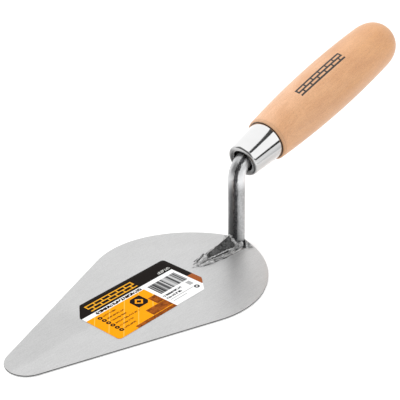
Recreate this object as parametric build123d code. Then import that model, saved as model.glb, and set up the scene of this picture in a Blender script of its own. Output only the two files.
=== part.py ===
"""A bricklayer's trowel: a welded steel blade and neck in a turned wooden handle.

Millimetres. The neck's axis is the Z axis, the blade's underside lies on Z = 0, the blade's tip
points to -X and the handle rises towards +X. Left and right are those of a person who holds the
handle and looks towards the tip, so right is +Y. The trowel is symmetric about Y = 0, apart from
its weld beads and its label.
"""
import os
from math import cos, radians, sin, tan

from build123d import *

# Blade, a flat plate. Each half of its outline is a tip arc, a straight edge, then a shoulder
# arc, a flank arc and a heel arc, all tangent to each other.
BLADE_THICKNESS = 0.8
TIP_TO_NECK = 172.9
TIP_RADIUS = 12.8
EDGE_ANGLE = 20.34
SHOULDER_RADIUS = 50.7
SHOULDER_END_ANGLE = 23.0
FLANK_RADIUS = 65.3
FLANK_END_ANGLE = 73.9
HEEL_RADIUS = 16.5
BLADE_EDGE_BREAK = 0.2

# Tang: one round bar, upright on the blade as the neck, bent into the handle as a spike.
BAR_RADIUS = 5.0
HANDLE_RISE = 15.6
AXIS_CROSSING_HEIGHT = 50.1
BEND_RADIUS = 10.5
SPIKE_SHOULDER = 38.0
SPIKE_END = 92.0
SPIKE_END_RADIUS = 1.8

# Distances along the handle's axis, from where it crosses the neck's axis.
FERRULE_MOUTH = 4.9
FERRULE_BACK = 27.4
HANDLE_LENGTH = 125.4

# Ferrule: a tapered tube with its mouth rolled inwards through half a turn.
FERRULE_BACK_RADIUS = 12.3
FERRULE_OPENING_RADIUS = 6.4
FERRULE_WALL = 0.8
FERRULE_ROLL_RADIUS = 2.0

# Handle: a barrel with a long even belly, a domed end and a spigot inside the ferrule.
HANDLE_FRONT_RADIUS = 13.6
HANDLE_BELLY_RADIUS = 16.8
HANDLE_BELLY_AT = 67.0
HANDLE_DOME_LENGTH = 17.0
HANDLE_DOME_FULLNESS = 0.64
HANDLE_FRONT_BREAK = 0.7
SPIGOT_RECESS = 6.8
PILOT_HOLE_SPARE = 4.0

# Foot: a solid wedge in front of the neck, ridged along its top. The first of each pair is on
# the neck's axis and the second at the toe.
FOOT_LENGTH = 32.0
FOOT_HALF_WIDTHS = (6.4, 1.2)
FOOT_HEIGHTS = (8.9, 2.3)

# Weld beads. The side beads lie along the foot's flanks, from the neck's side to the toe.
SIDE_BEAD_SPREADS = (8.6, 4.6)
SIDE_BEAD_HEIGHTS = (1.7, 1.3)
SIDE_BEAD_START = 2.0
TOE_LUMP_CENTRE = (-29.6, -0.6)
TOE_LUMP_HALF_SIZE = (5.6, 5.0, 3.7)
TOE_TONGUE_CENTRE = (-33.6, 0)
TOE_TONGUE_HALF_SIZE = (5.8, 2.4, 1.5)
NECK_BEAD_RADIUS = 1.9
NECK_BEAD_ANGLES = (0, 20, 42, 65)
HEEL_BEAD_SPREAD = 2.3
HEEL_BEAD_HEIGHT = 2.6
HEEL_LUMP_HALF_SIZE = (3.7, 6.2, 2.6)
HEEL_LUMP_CENTRE = (1.4, -6.2)
HEEL_BEAD_MARGIN = 0.3

# Label on the blade's upper face. Two opposite corners are cut off, and all are rounded.
LABEL_LENGTH = 73.9
LABEL_WIDTH = 39.9
LABEL_THICKNESS = 0.12
LABEL_CENTRE = (-80.35, -0.85)
LABEL_CUT = (8.5, 9.6)
LABEL_CORNER_RADIUS = 2.0

# Larger than the whole trowel, for the blocks that trim a piece to one side of a plane.
TRIM_SIZE = 400


def handle_place():
    """Frame whose X axis runs up the handle from the point where it crosses the neck's axis."""
    return Pos(0, 0, BLADE_THICKNESS + AXIS_CROSSING_HEIGHT) * Rot(0, -HANDLE_RISE, 0)


def turned(profile):
    """A profile of (distance along the axis, radius) turned about the handle's axis."""
    return handle_place() * revolve(profile, Axis.X)


def block_beyond(x, side):
    """A large block on one side of the plane X = x; side is MIN for +X of it and MAX for -X."""
    return Pos(x, 0, 0) * Box(
        TRIM_SIZE, TRIM_SIZE, TRIM_SIZE, align=(side, Align.CENTER, Align.CENTER)
    )


def straight_edge_length():
    """Length of a straight edge that brings the whole half outline back to Y = 0."""
    edge, shoulder, flank = (
        radians(angle) for angle in (EDGE_ANGLE, SHOULDER_END_ANGLE, FLANK_END_ANGLE)
    )
    fall = SHOULDER_RADIUS * (cos(edge) - cos(shoulder))
    fall += FLANK_RADIUS * (cos(shoulder) - cos(flank))
    fall += HEEL_RADIUS * cos(flank)
    return (fall - TIP_RADIUS * cos(edge)) / sin(edge)


def blade_face():
    """The blade's outline as a flat face on Z = 0."""
    tip = JernArc((-TIP_TO_NECK, 0), (0, 1), TIP_RADIUS, EDGE_ANGLE - 90)
    heading = (cos(radians(EDGE_ANGLE)), sin(radians(EDGE_ANGLE)))
    edge = PolarLine(tip @ 1, straight_edge_length(), EDGE_ANGLE)
    shoulder = JernArc(edge @ 1, heading, SHOULDER_RADIUS, -(EDGE_ANGLE + SHOULDER_END_ANGLE))
    flank = JernArc(
        shoulder @ 1, shoulder % 1, FLANK_RADIUS, SHOULDER_END_ANGLE - FLANK_END_ANGLE
    )
    heel = JernArc(flank @ 1, flank % 1, HEEL_RADIUS, FLANK_END_ANGLE - 90)
    half = Curve() + [tip, edge, shoulder, flank, heel]
    return make_face(half + mirror(half, Plane.XZ))


def blade():
    plate = extrude(blade_face(), BLADE_THICKNESS)
    rims = plate.edges().filter_by(Axis.Z, reverse=True)
    return chamfer(rims, BLADE_EDGE_BREAK)


def tang():
    """The bar: upright neck, bend, shank inside the ferrule and tapered spike in the wood."""
    turn = 90 - HANDLE_RISE
    bend_run = BEND_RADIUS * tan(radians(turn / 2))
    neck_top = BLADE_THICKNESS + AXIS_CROSSING_HEIGHT - bend_run
    neck = Line((0, 0, BLADE_THICKNESS), (0, 0, neck_top))
    centre = (BEND_RADIUS, 0, neck_top)
    bend_plane = Plane(origin=centre, x_dir=(-1, 0, 0), z_dir=(0, 1, 0))
    bend = bend_plane * CenterArc((0, 0), BEND_RADIUS, 0, turn)
    shank = handle_place() * Line((bend_run, 0, 0), (SPIKE_SHOULDER, 0, 0))
    route = Wire([neck, bend, shank])
    bar = sweep(Pos(0, 0, BLADE_THICKNESS) * Circle(BAR_RADIUS), path=route)
    spike_profile = make_face(
        Polyline(
            (SPIKE_SHOULDER, 0),
            (SPIKE_SHOULDER, BAR_RADIUS),
            (SPIKE_END, SPIKE_END_RADIUS),
            (SPIKE_END, 0),
            close=True,
        )
    )
    return bar + turned(spike_profile)


def ferrule_wall():
    """Where the ferrule's straight wall leaves its rolled lip, and the wall's slope."""
    front = FERRULE_MOUTH + FERRULE_ROLL_RADIUS
    front_radius = FERRULE_OPENING_RADIUS + 2 * FERRULE_ROLL_RADIUS
    slope = (FERRULE_BACK_RADIUS - front_radius) / (FERRULE_BACK - front)
    return front, front_radius, slope


def ferrule():
    front, front_radius, _ = ferrule_wall()
    roll_middle = FERRULE_OPENING_RADIUS + FERRULE_ROLL_RADIUS
    outline = Curve() + [
        ThreePointArc(
            (front, FERRULE_OPENING_RADIUS), (FERRULE_MOUTH, roll_middle), (front, front_radius)
        ),
        Polyline(
            (front, front_radius),
            (FERRULE_BACK, FERRULE_BACK_RADIUS),
            (FERRULE_BACK, FERRULE_BACK_RADIUS - FERRULE_WALL),
            (front, front_radius - FERRULE_WALL),
        ),
        ThreePointArc(
            (front, front_radius - FERRULE_WALL),
            (FERRULE_MOUTH + FERRULE_WALL, roll_middle),
            (front, FERRULE_OPENING_RADIUS + FERRULE_WALL),
        ),
        Line((front, FERRULE_OPENING_RADIUS + FERRULE_WALL), (front, FERRULE_OPENING_RADIUS)),
    ]
    return turned(make_face(outline))


def handle_blank():
    """The turned barrel with its spigot, before it is bored for the tang."""
    back = FERRULE_BACK + HANDLE_LENGTH
    belly_at = FERRULE_BACK + HANDLE_BELLY_AT
    sag = HANDLE_BELLY_RADIUS - HANDLE_FRONT_RADIUS
    belly_arc_radius = (HANDLE_BELLY_AT**2 + sag**2) / (2 * sag)
    dome_at = back - HANDLE_DOME_LENGTH
    dome_radius = HANDLE_BELLY_RADIUS - (dome_at - belly_at) ** 2 / (2 * belly_arc_radius)
    belly_middle = (dome_at + FERRULE_BACK) / 2
    middle_radius = HANDLE_BELLY_RADIUS - (belly_middle - belly_at) ** 2 / (2 * belly_arc_radius)
    _, _, wall_slope = ferrule_wall()
    spigot_front = FERRULE_MOUTH + SPIGOT_RECESS
    spigot_back_radius = FERRULE_BACK_RADIUS - FERRULE_WALL
    spigot_front_radius = spigot_back_radius - wall_slope * (FERRULE_BACK - spigot_front)
    dome_slope = -(dome_at - belly_at) / belly_arc_radius
    pull = HANDLE_DOME_FULLNESS * HANDLE_DOME_LENGTH
    outline = Curve() + [
        Polyline(
            (spigot_front, 0),
            (spigot_front, spigot_front_radius),
            (FERRULE_BACK, spigot_back_radius),
            (FERRULE_BACK, HANDLE_FRONT_RADIUS),
        ),
        ThreePointArc(
            (FERRULE_BACK, HANDLE_FRONT_RADIUS),
            (belly_middle, middle_radius),
            (dome_at, dome_radius),
        ),
        Bezier(
            (dome_at, dome_radius),
            (dome_at + pull, dome_radius + pull * dome_slope),
            (back, HANDLE_DOME_FULLNESS * dome_radius),
            (back, 0),
        ),
        Line((back, 0), (spigot_front, 0)),
    ]
    section = make_face(outline)
    corner = section.vertices().sort_by_distance((FERRULE_BACK, HANDLE_FRONT_RADIUS))[0]
    return turned(chamfer(corner, HANDLE_FRONT_BREAK))


def handle(bar):
    """The barrel, bored to the tang's own shape with a little spare depth past its end."""
    spare = turned(
        Pos(SPIKE_END, 0) * Rectangle(PILOT_HOLE_SPARE, SPIKE_END_RADIUS, align=Align.MIN)
    )
    return handle_blank() - bar - spare


def tapered(root_points, toe_points):
    """A solid on the blade from a section on the neck's axis to a section at the foot's toe.

    Each section is a list of (y, height over the blade).
    """
    sections = []
    for x, points in ((0, root_points), (-FOOT_LENGTH, toe_points)):
        corners = [(x, y, BLADE_THICKNESS + height) for y, height in points]
        sections.append(make_face(Polyline(*corners, close=True)))
    return loft(sections, ruled=True)


def foot(bar):
    root, toe = (
        [(-half_width, 0), (half_width, 0), (0, height)]
        for half_width, height in zip(FOOT_HALF_WIDTHS, FOOT_HEIGHTS)
    )
    return tapered(root, toe) - bar


def side_bead(side, occupied):
    """The bead along one flank of the foot; side is +1 for right and -1 for left."""
    root, toe = (
        [(0, 0), (side * spread, 0), (side * half_width * (1 - climb / height), climb), (0, climb)]
        for spread, climb, half_width, height in zip(
            SIDE_BEAD_SPREADS, SIDE_BEAD_HEIGHTS, FOOT_HALF_WIDTHS, FOOT_HEIGHTS
        )
    )
    body = tapered(root, toe) - block_beyond(-SIDE_BEAD_START, Align.MIN)
    return body - occupied


def mound(centre, half_size):
    """A low rounded lump of weld metal standing on the blade."""
    lump = scale(Sphere(1), by=half_size)
    above = Box(
        TRIM_SIZE, TRIM_SIZE, TRIM_SIZE, align=(Align.CENTER, Align.CENTER, Align.MIN)
    )
    return Pos(centre[0], centre[1], BLADE_THICKNESS) * (lump & above)


def toe_bead(occupied):
    """Lump of weld over the foot's toe, with a low tongue that runs out to a point."""
    lump = mound(TOE_LUMP_CENTRE, TOE_LUMP_HALF_SIZE)
    tongue = mound(TOE_TONGUE_CENTRE, TOE_TONGUE_HALF_SIZE)
    return lump + tongue - occupied


def neck_bead(occupied):
    """Saddle of weld down both sides of the neck, where it meets the foot's flanks."""
    drops = Part()
    for side in (-1, 1):
        for angle in NECK_BEAD_ANGLES:
            x = -BAR_RADIUS * cos(radians(angle))
            y = BAR_RADIUS * sin(radians(angle))
            toeward = -x / FOOT_LENGTH
            half_width, crest = (
                pair[0] + (pair[1] - pair[0]) * toeward for pair in (FOOT_HALF_WIDTHS, FOOT_HEIGHTS)
            )
            z = BLADE_THICKNESS + crest * (1 - y / half_width)
            drops += Pos(x, side * y, z) * Sphere(NECK_BEAD_RADIUS)
    return drops - occupied


def heel_bead(occupied):
    """Fillet of weld round the back of the neck, with a larger run-out on its left."""
    fillet_ring = Pos(0, 0, BLADE_THICKNESS) * Cone(
        BAR_RADIUS + HEEL_BEAD_SPREAD,
        BAR_RADIUS,
        HEEL_BEAD_HEIGHT,
        align=(Align.CENTER, Align.CENTER, Align.MIN),
    )
    back_half = fillet_ring & block_beyond(-SIDE_BEAD_START, Align.MIN)
    body = back_half + mound(HEEL_LUMP_CENTRE, HEEL_LUMP_HALF_SIZE)
    plate_column = extrude(offset(blade_face(), -HEEL_BEAD_MARGIN), TRIM_SIZE)
    return (body & plate_column) - occupied


def label():
    half_length, half_width = LABEL_LENGTH / 2, LABEL_WIDTH / 2
    cut_x, cut_y = LABEL_CUT
    outline = Polyline(
        (-half_length, -half_width),
        (half_length - cut_x, -half_width),
        (half_length, cut_y - half_width),
        (half_length, half_width),
        (cut_x - half_length, half_width),
        (-half_length, half_width - cut_y),
        close=True,
    )
    sheet = make_face(outline)
    sheet = fillet(sheet.vertices(), LABEL_CORNER_RADIUS)
    return Pos(*LABEL_CENTRE, BLADE_THICKNESS) * extrude(sheet, LABEL_THICKNESS)


def trowel():
    """Every piece of the trowel by name."""
    bar = tang()
    wedge_foot = foot(bar)
    toe = toe_bead([wedge_foot])
    right = side_bead(1, [wedge_foot, bar, toe])
    left = side_bead(-1, [wedge_foot, bar, toe])
    neck = neck_bead([wedge_foot, bar, right, left])
    heel = heel_bead([wedge_foot, bar, right, left, neck])
    return {
        "blade": blade(),
        "tang": bar,
        "foot": wedge_foot,
        "toe_weld": toe,
        "foot_weld_right": right,
        "foot_weld_left": left,
        "neck_weld": neck,
        "heel_weld": heel,
        "ferrule": ferrule(),
        "handle": handle(bar),
        "label": label(),
    }


os.makedirs("parts", exist_ok=True)
for name, piece in trowel().items():
    export_step(piece, f"parts/{name}.step")
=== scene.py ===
"""The looks of a bricklayer's trowel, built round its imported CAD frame.

Every piece is in metres in the CAD frame: the neck's axis is Z, the blade's underside lies on
Z = 0, the tip points to -X and the handle rises towards +X. Sizes below are in millimetres and
are multiplied by MM where a mesh is made.
"""
from math import cos, pi, radians, sin, sqrt, tan

import bmesh
import bpy
from mathutils import Matrix, Vector, noise


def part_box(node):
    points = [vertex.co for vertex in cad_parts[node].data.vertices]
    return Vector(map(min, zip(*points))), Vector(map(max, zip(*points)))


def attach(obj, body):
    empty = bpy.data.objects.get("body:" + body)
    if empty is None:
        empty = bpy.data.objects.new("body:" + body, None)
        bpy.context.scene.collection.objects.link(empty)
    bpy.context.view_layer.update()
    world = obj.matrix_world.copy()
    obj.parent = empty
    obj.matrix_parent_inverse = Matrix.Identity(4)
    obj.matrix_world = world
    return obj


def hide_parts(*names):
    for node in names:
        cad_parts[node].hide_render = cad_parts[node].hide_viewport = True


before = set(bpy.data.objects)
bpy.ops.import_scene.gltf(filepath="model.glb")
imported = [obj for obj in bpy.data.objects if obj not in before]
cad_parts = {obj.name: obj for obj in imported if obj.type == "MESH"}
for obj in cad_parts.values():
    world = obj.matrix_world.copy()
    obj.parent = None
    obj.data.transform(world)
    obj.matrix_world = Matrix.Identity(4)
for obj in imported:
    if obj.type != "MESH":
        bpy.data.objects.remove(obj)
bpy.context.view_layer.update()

MM = 0.001

# Blade
PLATE_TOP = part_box("blade")[1].z / MM
TIP_TO_NECK = 172.9
TIP_RADIUS = 12.8
EDGE_ANGLE = 20.34
SHOULDER_RADIUS = 50.7
SHOULDER_END_ANGLE = 23.0
FLANK_RADIUS = 65.3
FLANK_END_ANGLE = 73.9
HEEL_RADIUS = 16.5
BLADE_EDGE_BREAK = 0.2

# Bar and handle axis
BAR_RADIUS = 5.0
HANDLE_RISE = radians(15.6)
AXIS_CROSSING = PLATE_TOP + 50.1
BEND_RADIUS = 10.5
SPIKE_SHOULDER = 38.0
SPIKE_END = 92.0
SPIKE_END_RADIUS = 1.8
PILOT_HOLE_SPARE = 4.0

# Ferrule and handle, along the handle's axis from where it crosses the neck's axis
FERRULE_MOUTH = 4.9
FERRULE_BACK = 27.4
FERRULE_BACK_RADIUS = 12.3
FERRULE_OPENING_RADIUS = 6.4
FERRULE_WALL = 0.8
FERRULE_ROLL_RADIUS = 2.0
HANDLE_LENGTH = 125.4
HANDLE_FRONT_RADIUS = 13.6
HANDLE_BELLY_RADIUS = 16.8
HANDLE_BELLY_AT = 67.0
HANDLE_DOME_LENGTH = 17.0
HANDLE_DOME_FULLNESS = 0.64
HANDLE_FRONT_BREAK = 0.7
SPIGOT_FRONT = FERRULE_MOUTH + 6.8

# The shadow line between the ferrule and the handle's end face, which lies this far behind it
HANDLE_GAP = 0.32
HANDLE_FACE = FERRULE_BACK + HANDLE_GAP

# Foot: half widths and crest heights on the neck's axis and at the toe
FOOT_LENGTH = 32.0
FOOT_HALF_WIDTHS = (6.4, 1.2)
FOOT_HEIGHTS = (8.9, 2.3)

# Where each side bead's lower edge lies on the blade: distance ahead of the neck, and out to the
# side. Its upper seam lies on the foot's flank between the two heights. The right bead's edge is
# further in by the last table's amounts.
SIDE_BEAD_EDGE = ((3, 8.4), (10, 8.0), (15, 7.6), (20, 7.0), (25, 6.0), (30, 4.8), (33, 4.4))
SIDE_BEAD_SEAM = (1.75, 1.25)
RIGHT_BEAD_NARROWING = ((25, 1.4), (29, 0))

# Label: its two opposite cut corners are LABEL_CUT long in x and y
LABEL_CENTRE = (-80.35, -0.85)
LABEL_HALF_SIZE = (36.95, 19.95)
LABEL_CUT = (8.5, 9.6)
LABEL_CORNER_RADIUS = 2.0
LABEL_THICKNESS = 0.12
LABEL_LIFT = 0.03

# Printed areas of the label, each as its lowest and highest corner on the blade
DARK_BAND = ((-118, 7.8), (-43, 20))
HEEL_BAND = ((-47.9, -4), (-43, 20))
HEEL_CORNER = ((-47.9, -15.5), (-43, -4))
ORANGE_FIELD = ((-118, -21), (-74, 4.4))
BRICK_STACK = (
    ((-79.5, -11.5), (-74, -4)),
    ((-89, -18), (-74, -11.7)),
    ((-103.2, -21), (-74, -18.4)),
)
PLAQUE = ((-89.2, -7.0), (-80.2, 2.2))
BAR_BLOCK = ((-71.2, -6.5), (-49.8, 4.6))
BOLD_LINE = ((-108.8, 4.9), (-74.5, 7.2))
PANEL_PRINT = (((-72.5, -10.1), (-58.5, -8.5)), ((-72.5, -12.8), (-61.0, -11.2)))
PANEL_RULES = (
    ((-72, -14.6), (-54, -14.0)),
    ((-72, -16.7), (-61, -16.1)),
    ((-53.8, -12.0), (-50.8, -8.0)),
)
BAND_BRICKS = ((-108.5, 9.5), (-73.5, 15.9))
BAND_MARKS = ((-57, 9.2), (-47.5, 11.2))

# The handle's print, as distances along its axis and round it from its top
HANDLE_PRINT = ((58.0, -7.4), (102.0, -1.0))

# Both brick prints are this many bricks long and this many courses high. Printed edges fade over
# PRINT_SOFTNESS.
PRINT_BRICKS = 6
PRINT_COURSES = 2
PRINT_SOFTNESS = 0.06

# A notch between the left side bead and the neck, on the blade, darkened with painted shade
WELD_NOTCH = (-0.8, -6.8)

# Studio cards stand round this point, in metres
CARD_CENTRE = (0.01, 0, 0.055)


# ------------------------ colours and shader helper


def srgb(red, green, blue):
    """A colour given as 0 to 255 screen values, as the linear colour that shaders use."""
    shares = (channel / 255 for channel in (red, green, blue))
    return tuple(s / 12.92 if s <= 0.04045 else ((s + 0.055) / 1.055) ** 2.4 for s in shares)


def grey(value):
    return (value, value, value)


class Shader:
    """One material's node tree. Each method adds nodes and returns the socket that holds them."""

    def __init__(self, name):
        self.material = bpy.data.materials.new(name)
        self.material.use_nodes = True
        self.tree = self.material.node_tree
        self.surface = self.tree.nodes["Principled BSDF"]
        self.point = self.node("ShaderNodeTexCoord").outputs["Object"]

    def node(self, kind, **settings):
        made = self.tree.nodes.new(kind)
        for name, value in settings.items():
            setattr(made, name, value)
        return made

    def put(self, socket, value):
        """Links value to the socket if value is a socket, and stores it there otherwise."""
        if isinstance(value, bpy.types.NodeSocket):
            self.tree.links.new(value, socket)
        elif socket.type == "RGBA" and len(value) == 3:
            socket.default_value = (*value, 1)
        else:
            socket.default_value = value

    def fill(self, node, **inputs):
        """Puts values into a node's inputs, which are named with _ for spaces."""
        for name, value in inputs.items():
            self.put(node.inputs[name.replace("_", " ")], value)

    def finish(self, **inputs):
        """Fills in the Principled surface and returns the material."""
        self.fill(self.surface, **inputs)
        return self.material

    def maths(self, operation, *values):
        made = self.node("ShaderNodeMath", operation=operation)
        for socket, value in zip(made.inputs, values):
            self.put(socket, value)
        return made.outputs[0]

    def add(self, first, second):
        return self.maths("ADD", first, second)

    def subtract(self, first, second):
        return self.maths("SUBTRACT", first, second)

    def multiply(self, first, second):
        return self.maths("MULTIPLY", first, second)

    def larger(self, first, second):
        return self.maths("MAXIMUM", first, second)

    def any_of(self, masks):
        """The largest of several masks."""
        found = 0.0
        for mask in masks:
            found = self.larger(found, mask)
        return found

    def distance(self, value, middle):
        """How far value lies from the middle, either way."""
        return self.maths("ABSOLUTE", self.subtract(value, middle))

    def between(self, value, low, high, to_low=0.0, to_high=1.0, smooth=False):
        """value carried from low..high to to_low..to_high, and held at the ends."""
        kind = "SMOOTHSTEP" if smooth else "LINEAR"
        made = self.node("ShaderNodeMapRange", interpolation_type=kind, clamp=True)
        self.fill(made, Value=value, From_Min=low, From_Max=high, To_Min=to_low, To_Max=to_high)
        return made.outputs["Result"]

    def placed(self, where, location=(0, 0, 0), rotation=(0, 0, 0), scale=(1, 1, 1)):
        """The point where, seen from a frame at that location, rotation and scale."""
        made = self.node("ShaderNodeMapping", vector_type="TEXTURE")
        self.fill(made, Vector=where, Location=location, Rotation=rotation, Scale=scale)
        return made.outputs["Vector"]

    def in_millimetres(self):
        return self.placed(self.point, scale=(MM, MM, MM))

    def axes(self, where):
        made = self.node("ShaderNodeSeparateXYZ")
        self.put(made.inputs[0], where)
        return made.outputs["X"], made.outputs["Y"], made.outputs["Z"]

    def vector(self, x, y, z=0.0):
        made = self.node("ShaderNodeCombineXYZ")
        self.fill(made, X=x, Y=y, Z=z)
        return made.outputs["Vector"]

    def noise(self, where, scale, detail=3.0, roughness=0.55, distortion=0.0):
        made = self.node("ShaderNodeTexNoise")
        self.fill(made, Vector=where, Scale=scale, Detail=detail, Roughness=roughness)
        self.fill(made, Distortion=distortion)
        return made.outputs["Fac"]

    def mix(self, share, low, high, kind="MIX"):
        """Colour low where share is 0 and high where share is 1, or a blend of another kind."""
        made = self.node("ShaderNodeMix", data_type="RGBA", blend_type=kind, clamp_factor=True)
        first_colour, second_colour = made.inputs[6], made.inputs[7]
        self.fill(made, Factor=share)
        self.put(first_colour, low)
        self.put(second_colour, high)
        return made.outputs[2]

    def scaled(self, colour, factor):
        """The colour multiplied by a grey factor."""
        return self.mix(1.0, colour, self.vector(factor, factor, factor), "MULTIPLY")

    def away(self, x, y, centre=(0.0, 0.0)):
        """How far x and y lie from a centre."""
        across, along = (
            self.maths("POWER", self.subtract(value, middle), 2.0)
            for value, middle in zip((x, y), centre)
        )
        return self.maths("SQRT", self.add(across, along))

    def facing(self, direction):
        """How squarely the surface faces a direction of the object's frame."""
        made = self.node("ShaderNodeVectorMath", operation="DOT_PRODUCT")
        self.put(made.inputs[0], self.node("ShaderNodeNewGeometry").outputs["Normal"])
        made.inputs[1].default_value = direction
        return made.outputs["Value"]

    def bump(self, height, distance, strength=1.0, below=None):
        """A normal from a height from 0 to 1 that stands for distance metres."""
        made = self.node("ShaderNodeBump")
        self.fill(made, Height=height, Distance=distance, Strength=strength)
        if below is not None:
            self.fill(made, Normal=below)
        return made.outputs["Normal"]

    def beyond(self, value, centre, half_size):
        """How far value lies outside a span, and less than 0 inside it."""
        return self.subtract(self.distance(value, centre), half_size)

    def inside(self, outside):
        """1 where a distance outside an edge is below 0, and 0 where it is above."""
        return self.between(outside, PRINT_SOFTNESS / 2, -PRINT_SOFTNESS / 2)

    def box_mask(self, x, y, low, high):
        """1 inside an upright rectangle from corner low to corner high, and 0 outside it."""
        across, along = (
            self.beyond(value, (near + far) / 2, (far - near) / 2)
            for value, near, far in zip((x, y), low, high)
        )
        return self.inside(self.larger(across, along))

    def ring_mask(self, x, y, centre, outer, inner):
        """1 between two circles about a centre and 0 elsewhere."""
        away = self.away(x, y, centre)
        return self.inside(self.beyond(away, (outer + inner) / 2, (outer - inner) / 2))

    def bricks(self, x, y, size, joint):
        """1 on the faces of a stretcher bond laid from the origin of x and y."""
        made = self.node("ShaderNodeTexBrick", offset=0.5, offset_frequency=2)
        self.fill(made, Vector=self.vector(x, y), Scale=1.0, Bias=0.0)
        self.fill(made, Brick_Width=size[0], Row_Height=size[1])
        self.fill(made, Mortar_Size=joint, Mortar_Smooth=0.1)
        return self.subtract(1.0, made.outputs["Fac"])

    def cells(self, x, y, width, height):
        """A random number from 0 to 1 for each cell of that width and height."""
        column = self.maths("FLOOR", self.maths("DIVIDE", x, width))
        row = self.maths("FLOOR", self.maths("DIVIDE", y, height))
        made = self.node("ShaderNodeTexWhiteNoise", noise_dimensions="2D")
        self.put(made.inputs["Vector"], self.vector(column, row))
        return made.outputs["Value"]


# ------------------------ mesh helpers

# Edges with a turn of more than this many degrees stay sharp
SHARP_ANGLE = 40


def finish_piece(piece, material, node):
    """Gives a mesh its material and smooth shading, and has it stand for a CAD node."""
    piece.data.materials.append(material)
    piece.data.polygons.foreach_set("use_smooth", [True] * len(piece.data.polygons))
    piece.data.set_sharp_from_angle(angle=radians(SHARP_ANGLE))
    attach(piece, "root")
    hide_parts(node)


def mesh_object(name, points, faces, tones=None):
    """An object from points in millimetres, with doubled points joined and normals outward.

    tones, one number for each point, go to the mesh's "tone" attribute, which materials may read.
    """
    mesh = bpy.data.meshes.new(name)
    mesh.from_pydata([Vector(p) * MM for p in points], [], faces)
    work = bmesh.new()
    work.from_mesh(mesh)
    if tones:
        layer = work.verts.layers.float.new("tone")
        for vertex, tone in zip(work.verts, tones):
            vertex[layer] = tone
    bmesh.ops.remove_doubles(work, verts=work.verts, dist=0.002 * MM)
    bmesh.ops.recalc_face_normals(work, faces=work.faces)
    work.to_mesh(mesh)
    work.free()
    piece = bpy.data.objects.new(name, mesh)
    bpy.context.scene.collection.objects.link(piece)
    return piece


def ring_faces(rings, sides, closed=True):
    """Quads between rings of points, each ring with the same number of sides."""
    faces = []
    for ring in range(rings - 1):
        for side in range(sides if closed else sides - 1):
            a = ring * sides + side
            b = ring * sides + (side + 1) % sides
            faces.append((a, b, b + sides, a + sides))
    return faces


def handle_point(along, radius, angle):
    """The point at a distance along the handle's axis, and a radius and angle about it."""
    up = radius * cos(angle)
    x = along * cos(HANDLE_RISE) - up * sin(HANDLE_RISE)
    z = AXIS_CROSSING + along * sin(HANDLE_RISE) + up * cos(HANDLE_RISE)
    return Vector((x, radius * sin(angle), z))


def turned(name, profile, sides):
    """A closed profile of (distance along, radius) turned about the handle's axis."""
    points = [
        handle_point(along, radius, 2 * pi * side / sides)
        for along, radius in profile
        for side in range(sides)
    ]
    return mesh_object(name, points, ring_faces(len(profile), sides))


def arc(centre, radius, start, end, steps):
    """Points on an arc, with angles in degrees."""
    angles = [radians(start + (end - start) * step / steps) for step in range(steps + 1)]
    return [(centre[0] + radius * cos(a), centre[1] + radius * sin(a)) for a in angles]


def along_table(table, value):
    """The second entry of a sorted table of pairs at that value of the first, held at the ends."""
    if value <= table[0][0]:
        return table[0][1]
    for (start, low), (end, high) in zip(table, table[1:]):
        if value <= end:
            return low + (high - low) * (value - start) / (end - start)
    return table[-1][1]


def clamped(value):
    return min(1, max(0, value))


def hump(value, centre, spread):
    """1 at the centre, and 0 where the distance from it, squared, is the spread or more."""
    return max(0, 1 - (value - centre) ** 2 / spread)


# ------------------------ blade


def half_rim():
    """Points and outward directions of the rim from the tip, along +Y, to the heel."""
    place = Vector((-TIP_TO_NECK, 0.0))
    heading = radians(90)
    rim = []
    arcs = (
        (TIP_RADIUS, EDGE_ANGLE, 16),
        (None, EDGE_ANGLE, 20),
        (SHOULDER_RADIUS, -SHOULDER_END_ANGLE, 14),
        (FLANK_RADIUS, -FLANK_END_ANGLE, 18),
        (HEEL_RADIUS, -90, 8),
    )
    for radius, end_angle, steps in arcs:
        if radius is None:
            edge = Vector((cos(heading), sin(heading)))
            length = straight_edge_length()
            out = Vector((-edge.y, edge.x))
            rim += [(place + edge * length * step / steps, out) for step in range(steps)]
            place = place + edge * length
            continue
        turn = radians(end_angle) - heading
        centre = place + radius * Vector((sin(heading), -cos(heading)))
        for step in range(steps):
            now = heading + turn * step / steps
            out = Vector((-sin(now), cos(now)))
            rim.append((centre + radius * out, out))
        heading = radians(end_angle)
        place = centre + radius * Vector((-sin(heading), cos(heading)))
    rim.append((Vector((place.x, 0.0)), Vector((1.0, 0.0))))
    return rim


def straight_edge_length():
    """Length of the straight edge that brings the rim's half back to Y = 0."""
    edge = radians(EDGE_ANGLE)
    shoulder = radians(SHOULDER_END_ANGLE)
    flank = radians(FLANK_END_ANGLE)
    fall = SHOULDER_RADIUS * (cos(edge) - cos(shoulder))
    fall += FLANK_RADIUS * (cos(shoulder) - cos(flank))
    fall += HEEL_RADIUS * cos(flank)
    return (fall - TIP_RADIUS * cos(edge)) / sin(edge)


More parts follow.
